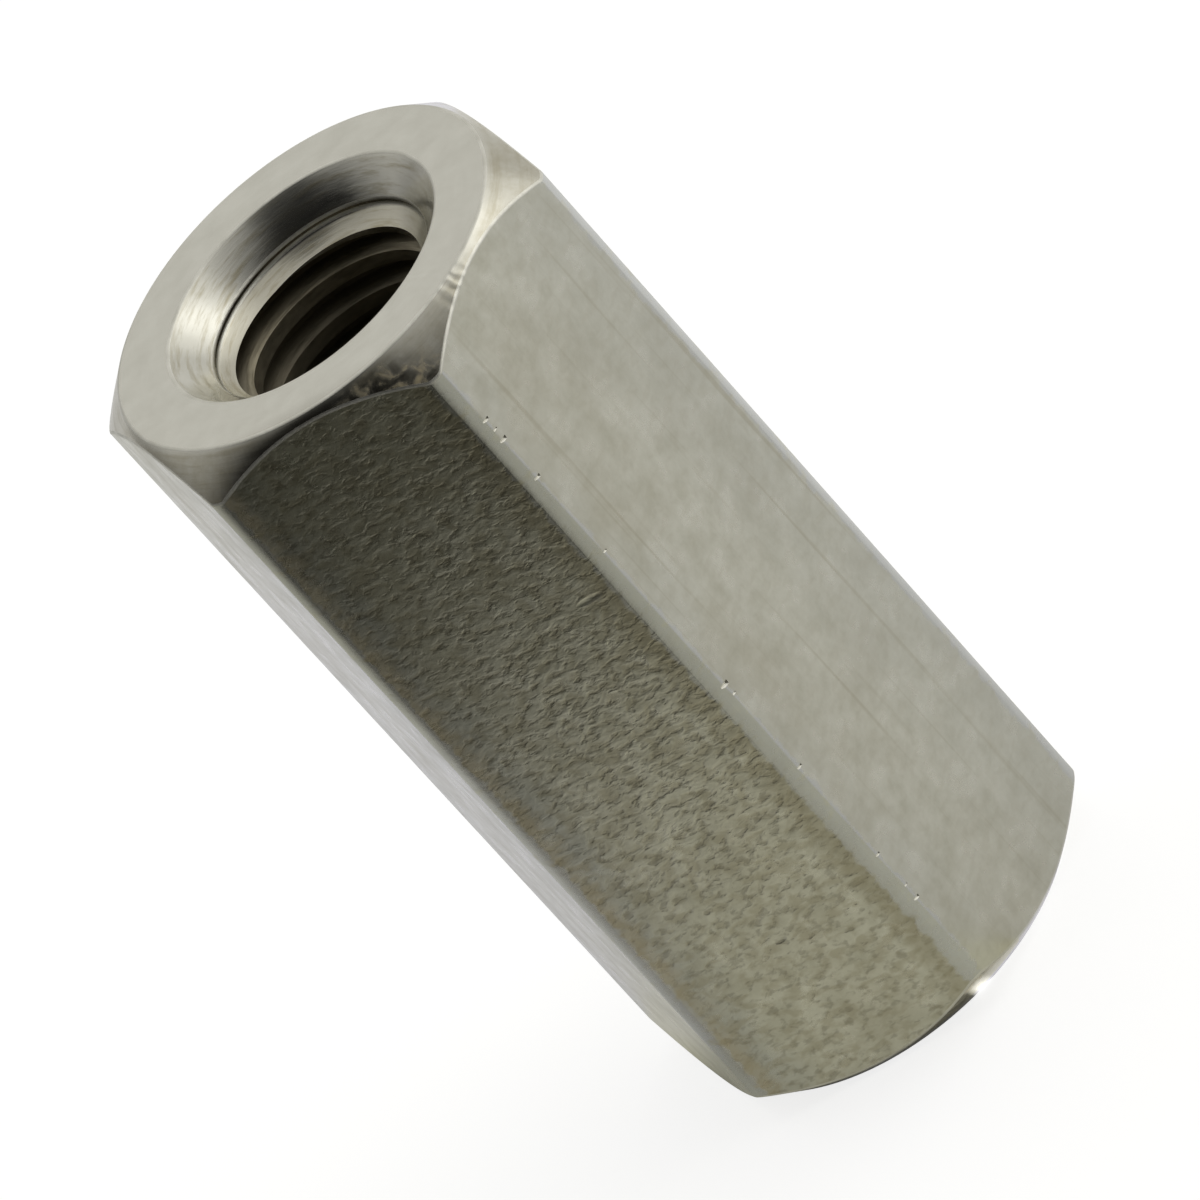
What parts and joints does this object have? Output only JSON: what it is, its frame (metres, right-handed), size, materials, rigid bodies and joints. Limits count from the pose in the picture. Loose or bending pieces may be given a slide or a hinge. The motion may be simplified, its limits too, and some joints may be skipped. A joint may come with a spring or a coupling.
{
  "type": "hex standoff",
  "caption": "Hexagonal metal spacer, tapped right through, with a countersunk bore and a turned chamfer at each end.",
  "frame": {"origin": "middle of the lower end face, on the axis of the bore", "axes": "+Z along the bore to the upper end face, two corners of the hexagon on the X axis, two flats facing along Y"},
  "size_m": [0.0064, 0.0054, 0.012],
  "materials": {
    "metal": "drawn flats with a faint orange peel, finely turned ends, chamfers and countersinks"
  },
  "bodies": {
    "root": {"standoff": "metal"}
  },
  "joints": []
}
